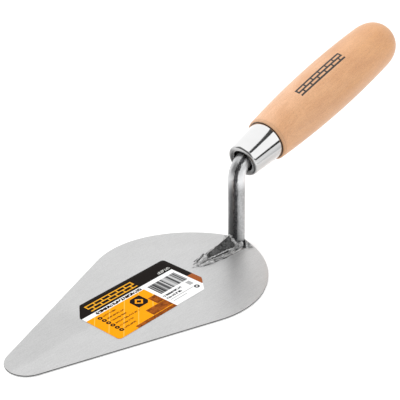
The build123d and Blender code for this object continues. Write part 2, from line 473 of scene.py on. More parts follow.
def blade_mesh():
    """The plate, with rounded rims and an upper face that is a few hundredths out of flat.

    Rings of points run round its rim and inwards, towards a spine along the middle of the blade.
    """
    side = half_rim()
    other = [(Vector((p.x, -p.y)), Vector((n.x, -n.y))) for p, n in side[-2:0:-1]]
    rim = side + other
    rounding = BLADE_EDGE_BREAK
    corner = [
        (rounding - rounding * cos(radians(a)), rounding * sin(radians(a)))
        for a in (0, 22, 45, 67, 90)
    ]
    lower = [(inset, rounding - rise) for inset, rise in corner]
    upper = [(inset, PLATE_TOP - rounding + rise) for inset, rise in corner]
    shares = (0.02, 0.05, 0.1, 0.18, 0.28, 0.4, 0.52, 0.64, 0.76, 0.88, 1.0)
    spine_start, spine_end = -150.0, -38.0
    wave_height, wave_length = 0.05, 38
    rings = [("in", share, 0.0) for share in reversed(shares)]
    rings += [("rim", inset, height) for inset, height in reversed(lower)]
    rings += [("rim", inset, height) for inset, height in upper]
    rings += [("in", share, PLATE_TOP) for share in shares]
    points = []
    for kind, amount, height in rings:
        for place, out in rim:
            if kind == "rim":
                x, y = place - out * amount
                points.append((x, y, height))
                continue
            start = place - out * rounding
            target = Vector((min(max(start.x, spine_start), spine_end), 0.0))
            x, y = start.lerp(target, amount)
            wave = noise.noise(Vector((x / wave_length, y / wave_length, 1.7)))
            wave *= wave_height * min(amount * 6, 1)
            points.append((x, y, height + (wave if height > 0 else 0)))
    return mesh_object("trowel_blade", points, ring_faces(len(rings), len(rim)))


# ------------------------ bar


def neck_top_height():
    """Where the upright neck ends and the bend begins."""
    turn = radians(90) - HANDLE_RISE
    return AXIS_CROSSING - BEND_RADIUS * tan(turn / 2)


def bar_route():
    """Stations of the bar: centre, direction and radius, from the blade to the spike's end."""
    turn = radians(90) - HANDLE_RISE
    neck_top = neck_top_height()
    stations = []
    for step in range(31):
        height = PLATE_TOP + (neck_top - PLATE_TOP) * step / 30
        stations.append((Vector((0, 0, height)), Vector((0, 0, 1)), BAR_RADIUS))
    for step in range(1, 25):
        swept = turn * step / 24
        centre = Vector((BEND_RADIUS * (1 - cos(swept)), 0, neck_top + BEND_RADIUS * sin(swept)))
        stations.append((centre, Vector((sin(swept), 0, cos(swept))), BAR_RADIUS))
    along_axis = Vector((cos(HANDLE_RISE), 0, sin(HANDLE_RISE)))
    crossing = Vector((0, 0, AXIS_CROSSING))
    for along in (14, 20, 28, SPIKE_SHOULDER):
        stations.append((crossing + along_axis * along, along_axis, BAR_RADIUS))
    stations.append((crossing + along_axis * SPIKE_END, along_axis, SPIKE_END_RADIUS))
    return stations


def bar_mesh():
    """The bar from the blade to the spike's end, with a skin that is a little uneven."""
    sides = 72
    unevenness = 0.006
    points = []
    for centre, direction, radius in bar_route():
        across = Vector((direction.z, 0, -direction.x))
        for side in range(sides):
            angle = 2 * pi * side / sides
            out = across * cos(angle) + Vector((0, 1, 0)) * sin(angle)
            rough = unevenness * noise.fractal((centre + out * radius) / 1.6, 1.0, 2.0, 3)
            points.append(centre + out * (radius + rough))
    rings = len(points) // sides
    faces = ring_faces(rings, sides)
    faces.append(tuple(range(sides)))
    faces.append(tuple(range((rings - 1) * sides, rings * sides)))
    return mesh_object("tang_bar", points, faces)


# ------------------------ foot and welds


def foot_section(ahead):
    """The foot's half width and crest height at a distance ahead of the neck's axis."""
    share = ahead / FOOT_LENGTH
    return tuple(neck + (toe - neck) * share for neck, toe in (FOOT_HALF_WIDTHS, FOOT_HEIGHTS))


def foot_mesh():
    """The wedge, with a narrow crest and forged flanks."""
    columns, rows = 48, 90
    hammer_up, hammer_sideways, crest_wave = 0.13, 0.1, 0.1
    roundness = 0.0035
    top = sqrt(1 + roundness)
    points = []
    for row in range(rows + 1):
        ahead = FOOT_LENGTH * row / rows
        half_width, height = foot_section(ahead)
        for column in range(columns + 1):
            across = 2 * column / columns - 1
            y = half_width * across
            rise = (top - sqrt(across**2 + roundness)) / (top - sqrt(roundness))
            z = height * rise
            hammered = noise.fractal(Vector((ahead, y, z)) / 2.1, 1.0, 2.0, 3)
            fade = min(1, 4 * (1 - abs(across)))
            z += hammer_up * hammered * fade
            z += crest_wave * noise.noise(Vector((ahead / 3, 0, 4))) * rise
            y += hammer_sideways * hammered * fade
            points.append((-ahead, y, PLATE_TOP + z))
    width = columns + 1
    faces = ring_faces(rows + 1, width, closed=False)
    left = [row * width for row in range(rows + 1)]
    right = [row * width + columns for row in range(rows + 1)]
    faces.append(tuple(left + right[::-1]))
    faces.append(tuple(range(width)))
    faces.append(tuple(range(rows * width, (rows + 1) * width)))
    return mesh_object("foot_wedge", points, faces)


def side_bead_mesh(name, side):
    """Weld laid along the foot's flank under a raised seam; side is +1 or -1 in Y.

    Its tones are above 0 on the streaks and on the seam, as a painted highlight, and below 0 in
    the groove and along the lower edge, as painted shade, and lower over the body and towards the
    toe.
    """
    rows, columns = 180, 44
    start, end = 2.9, 33.2
    ripple_length = 1.3
    points, tones = [], []
    for row in range(rows + 1):
        ahead = start + (end - start) * row / rows
        half_width, height = foot_section(ahead)
        seam = SIDE_BEAD_SEAM[0] + (SIDE_BEAD_SEAM[1] - SIDE_BEAD_SEAM[0]) * ahead / FOOT_LENGTH
        seam += 0.45 * noise.noise(Vector((ahead / 1.9, side, 3)))
        top = Vector((ahead, half_width * (1 - seam / height) - 0.15, seam))
        outer = along_table(SIDE_BEAD_EDGE, ahead)
        if side > 0:
            outer -= along_table(RIGHT_BEAD_NARROWING, ahead)
        outer += 0.16 * noise.noise(Vector((ahead / 2.1, side, 9)))
        low = Vector((ahead, outer, 0))
        out = Vector((0, top.z, low.y - top.y)).normalized()
        ends = min(1, 10 * row / rows, 10 * (rows - row) / rows)
        hollow = clamped((27 - ahead) / 3) * clamped((ahead - 10) / 4)
        sway = 0.1 * noise.noise(Vector((ahead / 3.1, side, 6)))
        for column in range(columns + 1):
            across = column / columns
            chord = top.lerp(low, across)
            place_across = across + sway
            ridge = hump(place_across, 0.08, 0.006)
            groove = hump(place_across, 0.26, 0.012) * hollow
            passes = abs(sin(2.5 * pi * place_across)) ** 0.7
            ripple = sin(2 * pi * ahead / ripple_length + 2.6 * across + side)
            rough = noise.fractal(Vector((ahead * 0.14, chord.y * 1.6, side * 5)), 1.0, 2.0, 3)
            lift = 0.3 * ridge - 0.4 * groove
            lift += (0.15 * passes + 0.03 * ripple * passes + 0.3 * rough) * ends
            place = chord + out * lift * min(1, 9 * (1 - across))
            points.append((-ahead, side * place.y, PLATE_TOP + max(place.z, 0)))
            flicker = 0.6 + 1.3 * noise.noise(Vector((ahead / 1.1, across * 4, side)))
            streak = noise.noise(Vector((ahead / 5, across * 9, side + 20)))
            body = min(1, across / 0.3)
            shade = 0.55 * max(0, (ahead - 16) / 16) * body
            # Painted shadow along the bead's lower edge, and painted shade in the groove
            painted_foot_shadow = max(0, 1 - abs(across - 0.93) / 0.09)
            darker_and_painted_shade = groove + shade + 0.2 * body + 0.3 * painted_foot_shadow * ends
            # The ridge's brightness along the seam is a painted highlight
            tones.append(ridge * flicker + 1.25 * streak * body - darker_and_painted_shade)
        for y, z in ((0.3 * half_width, 0.0), (0.3 * half_width, top.z)):
            points.append((-ahead, side * y, PLATE_TOP + z))
            tones.append(0.0)
    width = columns + 3
    faces = ring_faces(rows + 1, width)
    faces.append(tuple(range(width)))
    faces.append(tuple(range(rows * width, (rows + 1) * width)))
    return mesh_object(name, points, faces, tones)


def mark_hollows(work):
    """Sets the mesh's "tone" above 0 on ridges, for wire-brushed wear and a painted highlight, and
    below
    0 in hollows, for painted shade, softened a little.
    """
    layer = work.verts.layers.float.new("tone")
    work.normal_update()
    deepest = 0.022 * MM
    rounds = 4
    near = [[edge.other_vert(vertex) for edge in vertex.link_edges] for vertex in work.verts]
    for vertex, others in zip(work.verts, near):
        rise = sum((other.co - vertex.co).dot(vertex.normal) for other in others)
        vertex[layer] = -rise / len(others) / deepest
    for _ in range(rounds):
        softened = [sum(other[layer] for other in others) / len(others) for others in near]
        for vertex, tone in zip(work.verts, softened):
            vertex[layer] = tone


def blob_bead(name, blobs, core=(), roughness=0.16):
    """Weld metal: drops (centre, half size) fused with a convex core and cut level on the blade."""
    grain = 1.1
    fused_detail = 0.18
    sunk = 0.02
    work = bmesh.new()
    corners = [work.verts.new(Vector(point) * MM) for point in core]
    if corners:
        bmesh.ops.convex_hull(work, input=corners)
    for centre, half_size in blobs:
        place = Matrix.Translation(Vector(centre) * MM)
        stretch = Matrix.Diagonal((*(Vector(half_size) * MM), 1))
        bmesh.ops.create_icosphere(work, subdivisions=4, radius=1, matrix=place @ stretch)
    mesh = bpy.data.meshes.new(name)
    work.to_mesh(mesh)
    work.free()
    piece = bpy.data.objects.new(name, mesh)
    bpy.context.scene.collection.objects.link(piece)
    fuse = piece.modifiers.new("fuse", "REMESH")
    fuse.mode = "VOXEL"
    fuse.voxel_size = fused_detail * MM
    soften = piece.modifiers.new("soften", "SMOOTH")
    soften.iterations = 4
    graph = bpy.context.evaluated_depsgraph_get()
    fused = bpy.data.meshes.new_from_object(piece.evaluated_get(graph), depsgraph=graph)
    piece.modifiers.clear()
    piece.data = fused
    work = bmesh.new()
    work.from_mesh(fused)
    for vertex in work.verts:
        rough = noise.fractal(vertex.co / MM / grain, 1.0, 2.0, 3)
        vertex.co += vertex.normal * rough * roughness * MM
    mark_hollows(work)
    level = (PLATE_TOP - sunk) * MM
    cut = bmesh.ops.bisect_plane(
        work,
        geom=work.verts[:] + work.edges[:] + work.faces[:],
        plane_co=(0, 0, level),
        plane_no=(0, 0, 1),
        clear_inner=True,
    )
    rim = [item for item in cut["geom_cut"] if isinstance(item, bmesh.types.BMEdge)]
    bmesh.ops.holes_fill(work, edges=rim)
    work.to_mesh(fused)
    work.free()
    return piece


def drops_between(start, end, first_size, last_size, count):
    """Drops evenly spaced from start to end on the blade, with half sizes that change evenly."""
    drops = []
    for step in range(count):
        share = step / (count - 1)
        x, y = Vector(start).lerp(Vector(end), share)
        drops.append(((x, y, PLATE_TOP), Vector(first_size).lerp(Vector(last_size), share)))
    return drops


def toe_blobs():
    """Lobes over the foot's toe, and a low tongue that runs out to a point."""
    crest_lobe = drops_between((-32.4, -0.1), (-28.0, 0.1), (1.9, 1.1, 2.0), (2.6, 1.3, 3.7), 5)
    left_lobe = drops_between((-34.4, -1.9), (-26.6, -4.2), (1.3, 1.0, 0.7), (2.0, 1.5, 1.9), 7)
    right_lobe = drops_between((-34.6, 1.9), (-26.2, 3.5), (1.2, 0.6, 1.2), (1.5, 0.8, 2.9), 9)
    tongue = drops_between((-38.6, 0), (-33.2, 0), (1.0, 0.4, 0.35), (1.5, 2.0, 1.1), 8)
    return crest_lobe + left_lobe + right_lobe + tongue


def neck_blobs():
    """Drops that grow from the foot's crest down both sides of the neck to a nugget."""
    blobs = []
    for side in (-1, 1):
        for step in range(5):
            share = step / 4
            angle = radians(4 + 58 * share)
            ahead = (BAR_RADIUS + 0.4) * cos(angle) + 0.3 + 0.7 * share
            out = (BAR_RADIUS + 0.4) * sin(angle)
            half_width, height = foot_section(ahead)
            z = PLATE_TOP + height * max(1 - out / half_width, 0) - 0.4
            size = 1.1 + 0.55 * share + 0.15 * sin(2.6 * step)
            blobs.append(((-ahead, side * out, z), (size, size, size)))
        blobs.append(((-3.7, side * 5.3, PLATE_TOP + 1.9), (1.4, 1.4, 1.7)))
        blobs.append(((-2.6, side * 5.9, PLATE_TOP + 2.2), (1.3, 1.4, 2.0)))
    return blobs


def heel_blobs():
    """Drops round the back of the neck."""
    places = arc((0, 0), BAR_RADIUS - 0.3, -42, 78, 10)
    return [((x, y, PLATE_TOP), (1.5, 1.5, 1.9)) for x, y in places]


def heel_core():
    """Corners of the smooth run-out from the neck's back to the blade's left edge.

    Each is x, y and the height above the blade.
    """
    corners = (
        (2.2, -4.2, 0.0),
        (-1.4, -8.6, 0.0),
        (2.2, -12.1, 0.0),
        (3.7, -9.0, 0.0),
        (4.9, -4.4, 0.0),
        (3.0, -2.8, 0.0),
        (2.6, -4.0, 2.9),
        (2.4, -5.8, 2.7),
        (2.3, -8.5, 1.8),
        (4.0, -4.6, 1.7),
    )
    return [(x, y, PLATE_TOP + height) for x, y, height in corners]


# ------------------------ ferrule and handle


def ferrule_wall_slope():
    front_radius = FERRULE_OPENING_RADIUS + 2 * FERRULE_ROLL_RADIUS
    length = FERRULE_BACK - FERRULE_MOUTH - FERRULE_ROLL_RADIUS
    return (FERRULE_BACK_RADIUS - front_radius) / length


def ferrule_mesh():
    """A drawn cup: tapered wall, mouth rolled in through half a turn, and a rounded back edge."""
    roll = (FERRULE_MOUTH + FERRULE_ROLL_RADIUS, FERRULE_OPENING_RADIUS + FERRULE_ROLL_RADIUS)
    back_edge = (FERRULE_BACK - FERRULE_WALL / 2, FERRULE_BACK_RADIUS - FERRULE_WALL / 2)
    profile = arc(roll, FERRULE_ROLL_RADIUS, 270, 90, 28)
    profile += arc(back_edge, FERRULE_WALL / 2, 90, -90, 8)
    profile += arc(roll, FERRULE_ROLL_RADIUS - FERRULE_WALL, 90, 270, 14)
    profile.append(profile[0])
    return turned("ferrule_cup", profile, 160)


def handle_profile():
    """The barrel's outline from the bore, round the spigot and the belly, to the dome's end."""
    back = FERRULE_BACK + HANDLE_LENGTH
    belly_at = FERRULE_BACK + HANDLE_BELLY_AT
    sag = HANDLE_BELLY_RADIUS - HANDLE_FRONT_RADIUS
    belly_arc = (HANDLE_BELLY_AT**2 + sag**2) / (2 * sag)
    dome_at = back - HANDLE_DOME_LENGTH
    spigot_back = FERRULE_BACK_RADIUS - FERRULE_WALL
    spigot_front = spigot_back - ferrule_wall_slope() * (FERRULE_BACK - SPIGOT_FRONT)
    bore = BAR_RADIUS + 0.06
    hole_end = SPIKE_END + PILOT_HOLE_SPARE

    def belly(along):
        return HANDLE_BELLY_RADIUS - (along - belly_at) ** 2 / (2 * belly_arc)

    profile = [
        (hole_end, 0),
        (hole_end, SPIKE_END_RADIUS),
        (SPIKE_END, SPIKE_END_RADIUS),
        (SPIKE_SHOULDER, bore),
        (SPIGOT_FRONT, bore),
        (SPIGOT_FRONT, spigot_front),
        (HANDLE_FACE, spigot_back - 0.05),
    ]
    corner = (HANDLE_FACE + HANDLE_FRONT_BREAK, HANDLE_FRONT_RADIUS - HANDLE_FRONT_BREAK)
    profile += arc(corner, HANDLE_FRONT_BREAK, 180, 95, 8)
    first = corner[0] + 0.2
    steps = 60
    for step in range(steps):
        along = first + (dome_at - first) * step / steps
        profile.append((along, belly(along)))
    pull = HANDLE_DOME_FULLNESS * HANDLE_DOME_LENGTH
    edge = Vector((dome_at, belly(dome_at)))
    slope = -(dome_at - belly_at) / belly_arc
    controls = (
        edge,
        edge + Vector((pull, pull * slope)),
        Vector((back, HANDLE_DOME_FULLNESS * edge.y)),
        Vector((back, 0)),
    )
    for step in range(25):
        t = step / 24
        weights = ((1 - t) ** 3, 3 * t * (1 - t) ** 2, 3 * t**2 * (1 - t), t**3)
        place = sum((w * control for w, control in zip(weights, controls)), Vector((0, 0)))
        profile.append(tuple(place))
    return profile


def handle_mesh():
    return turned("wooden_handle", handle_profile(), 144)


# ------------------------ label


def rounded_outline(corners, radius, steps):
    """A convex outline, counter-clockwise, with every corner rounded to the same radius."""
    rim = []
    previous = corners[-1:] + corners[:-1]
    following = corners[1:] + corners[:1]
    for before, corner, after in zip(previous, corners, following):
        start = (corner - before).normalized()
        end = (after - corner).normalized()
        inward = Vector((-start.y, start.x))
        turn = start.angle(end)
        trim = radius * tan(turn / 2)
        centre = corner - start * trim + inward * radius
        for step in range(steps + 1):
            swept = turn * step / steps
            rim.append(centre + radius * (start * sin(swept) - inward * cos(swept)))
    return rim


def label_mesh():
    """The sticker: a thin sheet with two cut corners, pressed flat on the blade."""
    half_x, half_y = LABEL_HALF_SIZE
    cut_x, cut_y = LABEL_CUT
    corners = [
        Vector(corner)
        for corner in (
            (-half_x, -half_y),
            (half_x - cut_x, -half_y),
            (half_x, cut_y - half_y),
            (half_x, half_y),
            (cut_x - half_x, half_y),
            (-half_x, half_y - cut_y),
        )
    ]
    rim = rounded_outline(corners, LABEL_CORNER_RADIUS, 8)
    rings = ((1.0, 0.0), (1.0, 0.8), (0.998, 1.0), (0.9, 1.0), (0.7, 1.0), (0.45, 1.0), (0.2, 1.0))
    points = []
    for scale, height in rings:
        z = PLATE_TOP + LABEL_LIFT + LABEL_THICKNESS * height
        for place in rim:
            points.append((*(Vector(LABEL_CENTRE) + place * scale), z))
    faces = ring_faces(len(rings), len(rim))
    count = len(rim)
    faces.append(tuple(range(count)))
    faces.append(tuple(range((len(rings) - 1) * count, len(rings) * count)))
    return mesh_object("blade_label", points, faces)


# ------------------------ materials


def ground_steel():
    """Sheet steel with fine grinding marks, soft clouding and a darker sheared rim, painted near
    black along its top as painted shade.

    Painted shade darkens the +Y side of its middle near the tip, for a faint ridge, and painted
    shade darkens the notch beside the neck.
    """
    s = Shader("ground_steel")
    x, y, z = s.axes(s.in_millimetres())
    grain = s.noise(s.placed(s.point, scale=(9e-3, 0.9e-3, 1e-3)), 1.0, 4, 0.6)
    speckle = s.noise(s.point, 1500, 2, 0.6)
    cloud = s.noise(s.point, 28, 3, 0.5)
    clouding = s.between(cloud, 0.3, 0.7, 0.955, 1.03)
    tone = s.add(clouding, s.between(grain, 0.3, 0.7, -0.05, 0.05))
    tone = s.add(tone, s.between(speckle, 0.35, 0.65, -0.06, 0.06))
    # Painted shade: the +Y side of the blade's middle near the tip is darker, for a faint ridge
    meander = s.between(s.noise(s.point, 60, 2), 0.3, 0.7, -1.5, 1.5)
    ridge = s.between(s.add(y, meander), -1.5, 1.5, 0, 1, smooth=True)
    near_tip = s.between(x, -108, -125, 0, 1, smooth=True)
    shade = s.multiply(s.multiply(ridge, near_tip), 0.08)
    colour = s.scaled(grey(0.555), s.subtract(tone, shade))
    # Painted shade: the blade is near black in the notch beside the neck
    painted_crevice_shade = s.between(s.away(x, y, WELD_NOTCH), 2.2, 1.0, 0, 0.9)
    colour = s.mix(painted_crevice_shade, colour, grey(0.03))
    normal = s.node("ShaderNodeNewGeometry").outputs["True Normal"]
    upright = s.maths("ABSOLUTE", s.axes(normal)[2])
    # The sheared rim is darker steel, and its top is painted near black as painted shade
    rim = s.mix(s.between(z, 0.3, 0.5), grey(0.3), grey(0.02))
    colour = s.mix(s.between(upright, 0.85, 0.5), colour, rim)
    polish = s.between(cloud, 0.3, 0.7, 0.36, 0.42)
    rough = s.add(polish, s.between(grain, 0.3, 0.7, -0.03, 0.03))
    relief = s.bump(grain, 0.004 * MM, 0.6, s.bump(speckle, 0.004 * MM, 0.5))
    return s.finish(Base_Color=colour, Metallic=0.72, Roughness=rough, Normal=relief)


def bar_steel():
    """Drawn bar with a fine skin, with a painted dark reflection in a band along the front of the
    neck and bend, a painted highlight on the bend and painted shade at its foot.

    The band follows the bar round the bend: front and left are how far a point of the bar lies
    towards the outside of the bend and towards -Y, from 0 at its axis to 1 at its surface.
    """
    s = Shader("bar_steel")
    x, y, height = s.axes(s.in_millimetres())
    mottle = s.noise(s.point, 900, 4, 0.6)
    grain = s.noise(s.placed(s.point, scale=(0.6e-3, 0.6e-3, 4e-3)), 1.0, 3, 0.6)
    bend_centre = s.subtract(x, BEND_RADIUS)
    above_neck = s.larger(s.subtract(height, neck_top_height()), 0.0)
    reach = s.away(bend_centre, above_neck)
    front = s.between(reach, BEND_RADIUS, BEND_RADIUS + BAR_RADIUS)
    left = s.between(y, 0.0, -BAR_RADIUS)
    waver = s.between(grain, 0.3, 0.7, -0.07, 0.07)

    def towards(front_share, left_share, unsteady):
        faced = s.add(s.multiply(front, front_share), s.multiply(left, left_share))
        return s.add(faced, s.multiply(waver, unsteady))

    bend = s.between(height, 36, 44, 0, 1, smooth=True)
    colour = s.mix(s.between(mottle, 0.35, 0.65), srgb(184, 185, 186), srgb(158, 159, 160))
    # Painted highlight: the bend is lighter, most towards -Y
    lit = s.multiply(bend, s.between(left, 0.5, 0.85, 0.5, 0.9, smooth=True))
    colour = s.mix(lit, colour, srgb(232, 233, 234))
    # Painted dark reflection: a broad band and a narrow core along the front, fading up the bend
    broad = s.between(towards(0.95, 0.31, 1.0), 0.76, 0.93, 0, 0.72, smooth=True)
    broad = s.multiply(broad, s.between(height, 34, 45, 1, 0.1, smooth=True))
    core = s.between(towards(0.85, 0.53, 0.4), 0.955, 0.99, 0, 1, smooth=True)
    # Painted shade at the bar's foot, among the welds
    painted_crevice_shade = s.between(height, 4.2, 3.2)
    # All the painted dark reflection and painted shade on the bar, mixed in as mottled dark grey
    scale = s.larger(s.larger(broad, core), painted_crevice_shade)
    dark = s.mix(s.between(mottle, 0.38, 0.62), srgb(62, 62, 64), srgb(100, 100, 102))
    colour = s.mix(scale, colour, dark)
    return s.finish(
        Base_Color=colour,
        Metallic=1.0,
        Roughness=s.between(mottle, 0.3, 0.7, 0.36, 0.44),
        Normal=s.bump(grain, 0.008 * MM, 0.4, s.bump(mottle, 0.004 * MM, 0.3)),
    )


def forged_steel():
    """Dark mottled forging scale, rubbed bright along the crest."""
    s = Shader("forged_steel")
    scale = s.noise(s.point, 800, 4, 0.65)
    blotch = s.noise(s.point, 260, 3, 0.6)
    colour = s.mix(s.between(scale, 0.35, 0.68), grey(0.025), grey(0.15))
    colour = s.mix(s.between(blotch, 0.5, 0.7, 0, 0.4), colour, grey(0.22))
    worn = s.between(s.facing((0, 0, 1)), 0.86, 0.96)
    worn = s.multiply(worn, s.between(blotch, 0.3, 0.5))
    colour = s.mix(worn, colour, grey(0.62))
    return s.finish(
        Base_Color=colour,
        Metallic=0.9,
        Roughness=s.between(scale, 0.3, 0.7, 0.36, 0.58),
        Normal=s.bump(scale, 0.09 * MM, 0.6),
    )


def weld_metal():
    """Brushed-off weld: bright streaks, grey blotches, painted shade in its hollows and a few dark
    specks.

    The mesh's "tone" brightens it where it is above 0, as wear and a painted highlight on ridges
    and seams, and darkens it where it is below, as painted shade in hollows and grooves.
    """
    s = Shader("weld_metal")
    streaks = s.noise(s.placed(s.point, scale=(5e-3, 0.6e-3, 0.6e-3)), 1.0, 4, 0.6)
    pits = s.noise(s.point, 900, 3, 0.6)
    blotch = s.noise(s.point, 330, 3, 0.6)
    tone = s.node("ShaderNodeAttribute", attribute_name="tone").outputs["Fac"]
    colour = s.mix(s.between(streaks, 0.35, 0.65), grey(0.4), grey(0.74))
    colour = s.mix(s.between(blotch, 0.54, 0.68, 0, 0.7), colour, grey(0.2))
    # Painted highlight on ridges and seams, with brushed wear
    colour = s.mix(s.between(tone, 0.25, 1.0, 0, 0.65), colour, grey(0.85))
    # Painted shade in hollows and grooves
    colour = s.mix(s.between(tone, -0.2, -0.9), colour, grey(0.05))
    colour = s.mix(s.between(pits, 0.62, 0.7), colour, grey(0.04))
    return s.finish(
        Base_Color=colour,
        Metallic=1.0,
        Roughness=s.between(streaks, 0.3, 0.7, 0.6, 0.46),
        Normal=s.bump(streaks, 0.05 * MM, 0.5, s.bump(pits, 0.04 * MM, 0.5)),
    )


def handle_coordinates(s):
    """The point in the handle's own axes in mm, and its distances along, right and up."""
    where = s.placed(s.point, (0, 0, AXIS_CROSSING * MM), (0, -HANDLE_RISE, 0), (MM, MM, MM))
    along, right, up = s.axes(where)
    return where, along, right, up


def ferrule_plating():
    """Polished plating with faint drawing lines, painted shade underneath, and a painted dark
    reflection and more roughness inside the lip.
    """
    s = Shader("ferrule_plating")
    where, along, right, up = handle_coordinates(s)
    lines = s.noise(s.placed(where, scale=(20, 0.6, 0.6)), 1.0, 3, 0.5)
    haze = s.noise(s.point, 90, 3, 0.5)
    radius = s.away(right, up)
    near_mouth = s.between(along, FERRULE_MOUTH + 2.2, FERRULE_MOUTH + 1.4)
    inner = s.between(radius, 10.4, 9.5, 0, 1, smooth=True)
    below = s.between(up, 9.0, 5.5, 0.6, 1, smooth=True)
    lip = s.multiply(s.multiply(near_mouth, inner), below)
    colour = s.mix(s.between(haze, 0.35, 0.7), grey(0.83), grey(0.79))
    # Painted shade on the ferrule's underside
    under = s.between(s.maths("DIVIDE", up, radius), 0.2, 0.05, smooth=True)
    colour = s.mix(under, colour, s.mix(lines, grey(0.47), grey(0.62)))
    # Painted dark reflection inside the lip
    colour = s.mix(lip, colour, s.mix(lines, grey(0.16), grey(0.3)))
    polish = s.between(haze, 0.3, 0.7, 0.05, 0.1)
    return s.finish(
        Base_Color=colour,
        Metallic=1.0,
        Roughness=s.add(polish, s.multiply(lip, 0.15)),
        Normal=s.bump(lines, 0.004 * MM, 0.4),
    )


def handle_wood():
    """Lacquered beech with fine rays and slow colour drift, more golden towards its end, with
    painted shading that leaves its top paler.

    It has a printed band of brick bond, and at the ferrule a darker rim, a painted shade line and a
    dark seam, which is dark end grain with painted shadow in the gap.
    """
    s = Shader("handle_wood")
    where, along, right, up = handle_coordinates(s)
    ring_space = s.placed(where, (0, 30, -18), (0, 0.02, 0.03), (140, 9, 9))
    warp = s.noise(ring_space, 1.0, 2, 0.5, 0.6)
    rings = s.maths("FRACT", s.multiply(warp, 9.0))
    ring_shade = s.between(s.distance(rings, 0.5), 0.0, 0.5)
    flecks = s.noise(s.placed(where, scale=(2.2, 0.26, 0.26)), 1.0, 2, 0.5)
    fibres = s.noise(s.placed(where, scale=(9, 0.35, 0.35)), 1.0, 3, 0.6)
    pores = s.noise(s.placed(where, scale=(1.1, 0.22, 0.22)), 1.0, 2, 0.6)
    speckle = s.noise(s.placed(where, scale=(0.7, 0.5, 0.5)), 1.0, 2, 0.6)
    patches = s.noise(s.placed(where, scale=(22, 9, 9)), 1.0, 2, 0.5)
    # Painted shading: paler towards the top and +Y, more golden towards the bottom and -Y
    side = s.subtract(s.multiply(up, -0.6), right)
    painted_side_shade = s.between(side, -14, 16, 0, 1, smooth=True)
    colour = s.mix(painted_side_shade, srgb(217, 171, 135), srgb(208, 154, 104))
    colour = s.mix(s.between(along, 75, 145, 0, 0.7), colour, srgb(206, 147, 88))
    colour = s.mix(s.between(patches, 0.35, 0.7, 0, 0.6), colour, srgb(192, 136, 90))
    colour = s.mix(s.multiply(ring_shade, 0.18), colour, srgb(178, 124, 82))
    colour = s.mix(s.between(fibres, 0.35, 0.7, 0, 0.24), colour, srgb(222, 180, 144))
    colour = s.mix(s.between(flecks, 0.58, 0.7, 0, 0.4), colour, srgb(160, 106, 68))
    colour = s.mix(s.between(pores, 0.6, 0.72, 0, 0.3), colour, srgb(150, 100, 66))
    colour = s.scaled(colour, s.between(speckle, 0.3, 0.7, 0.9, 1.1))
    shoulder = s.between(along, HANDLE_FACE + 2.6, HANDLE_FACE + 0.6)
    colour = s.mix(s.multiply(shoulder, 0.3), colour, srgb(150, 118, 88))
    # Painted shade: a thin dark line that stands for a groove
    painted_groove_shade = s.between(s.beyond(along, HANDLE_FACE + 1.5, 0.1), 0.25, 0.0)
    colour = s.mix(s.multiply(painted_groove_shade, 0.2), colour, srgb(110, 78, 52))
    radius = s.away(right, up)
    # Dark end grain next to the ferrule, with painted shadow in the gap
    seam = s.between(radius, FERRULE_BACK_RADIUS + 0.5, FERRULE_BACK_RADIUS + 0.2)
    end_face = s.between(along, HANDLE_FACE + 0.4, HANDLE_FACE + 0.1)
    colour = s.mix(s.multiply(end_face, seam), colour, srgb(42, 32, 26))
    colour = s.mix(printed_band(s, along, right, up), colour, srgb(34, 31, 30))
    return s.finish(
        Base_Color=colour,
        Roughness=s.between(fibres, 0.3, 0.7, 0.4, 0.52),
        Specular_IOR_Level=0.5,
        Coat_Weight=0.25,
        Coat_Roughness=0.28,
        Normal=s.bump(fibres, 0.02 * MM, 0.35),
    )


def printed_band(s, along, right, up):
    """Ink mask of two courses of brick outlines printed along the top left of the handle."""
    around = s.multiply(s.maths("ARCTAN2", right, up), HANDLE_BELLY_RADIUS)
    outlines = brick_outlines(s, along, around, *HANDLE_PRINT, 1.3)
    worn = s.between(s.noise(s.vector(along, around), 1.6, 3, 0.6), 0.25, 0.4, 0.75, 1.0)
    return s.multiply(outlines, worn)


def brick_outlines(s, x, y, low, high, line):
    """1 on the outlines of whole bricks, laid in courses between two corners."""
    size = (
        (high[0] - low[0] - line) / PRINT_BRICKS,
        (high[1] - low[1] - line) / PRINT_COURSES,
    )
    run = s.subtract(x, low[0] + line / 2)
    rise = s.subtract(y, low[1] + line / 2)
    faces = s.bricks(run, rise, size, line / 2)
    return s.multiply(s.box_mask(x, y, low, high), s.subtract(1.0, faces))


